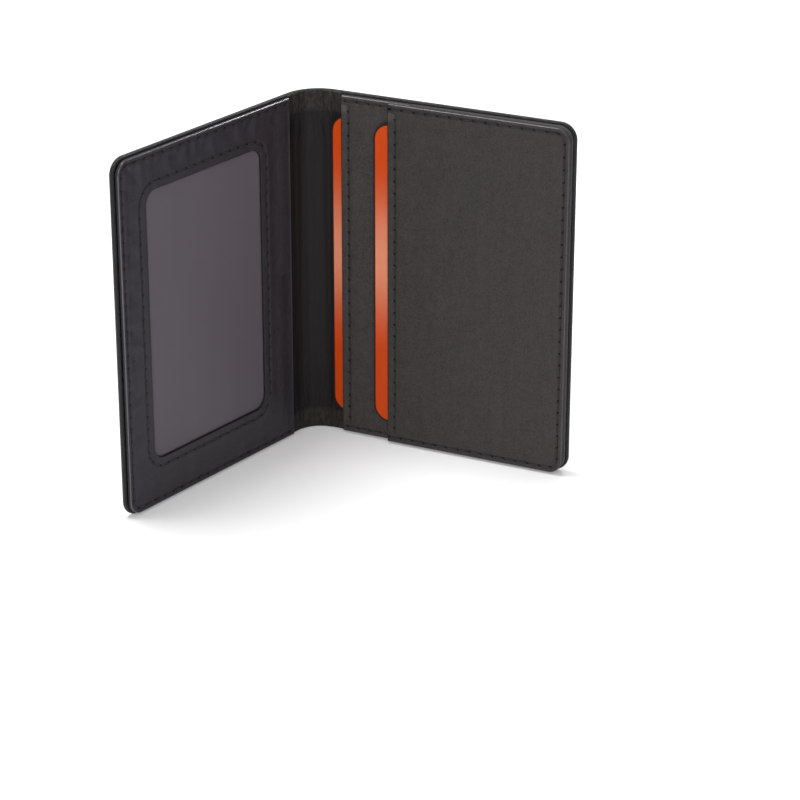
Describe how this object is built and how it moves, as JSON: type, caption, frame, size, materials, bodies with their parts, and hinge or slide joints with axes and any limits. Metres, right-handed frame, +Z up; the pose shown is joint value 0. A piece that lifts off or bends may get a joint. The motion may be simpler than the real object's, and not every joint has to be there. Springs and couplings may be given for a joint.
{
  "type": "leather card case",
  "caption": "Folding leather card case that stands open like a book, with a clear window pocket in one leaf and stepped card slots in the other.",
  "frame": {"origin": "on the surface the case stands on, under the centre of the open case's bounding box", "axes": "+Z up along the spine; the window leaf lies square to X with its outer face towards -X; the card leaf runs from the spine towards +X and 13 degrees towards +Y"},
  "size_m": [0.0758, 0.0947, 0.098],
  "materials": {
    "cover_leather": "glossy black fine-grained leather",
    "inner_leather": "smooth dark grey leather, satin",
    "dark_lining": "dark lining, matte",
    "grey_lining": "neutral grey lining behind the window, matte",
    "black_thread": "black sewing thread, slightly glossy",
    "board": "grey board, raw",
    "clear_film": "clear film, slightly matte",
    "card_plastic": "orange plastic card, satin"
  },
  "bodies": {
    "spine": {"spine_cover": "cover_leather", "spine_lining": "dark_lining"},
    "card_leaf": {"card_leaf_cover": "cover_leather", "card_leaf_board": "board", "card_leaf_lining": "dark_lining", "slot_panel_1": "inner_leather", "pocket_lining_1": "dark_lining", "slot_panel_2": "inner_leather", "card_leaf_inner_thread": "black_thread", "card_leaf_outer_thread": "black_thread", "slot_1_thread": "black_thread", "slot_2_thread": "black_thread"},
    "first_card": {"card_1": "card_plastic"},
    "second_card": {"card_2": "card_plastic"},
    "window_leaf": {"window_leaf_cover": "cover_leather", "window_leaf_board": "board", "window_leaf_lining": "grey_lining", "window_film": "clear_film", "window_frame": "inner_leather", "window_leaf_inner_thread": "black_thread", "window_leaf_outer_thread": "black_thread", "window_thread": "black_thread"}
  },
  "joints": [
    {"name": "card_leaf_fold", "type": "hinge", "parent": "spine", "child": "card_leaf", "pos_m": [-0.03304, 0.03077, 0.049], "axis": [0, 0, -1], "range_deg": [-38.5, 51.5]},
    {"name": "window_leaf_fold", "type": "hinge", "parent": "spine", "child": "window_leaf", "pos_m": [-0.03759, 0.02505, 0.049], "axis": [0, 0, 1], "range_deg": [-38.5, 51.5]},
    {"name": "first_card_slide", "type": "slide", "parent": "card_leaf", "child": "first_card", "axis": [-0.9744, -0.225, 0], "range_m": [0, 0.002]},
    {"name": "second_card_slide", "type": "slide", "parent": "card_leaf", "child": "second_card", "axis": [-0.9744, -0.225, 0], "range_m": [0, 0.0155]}
  ]
}
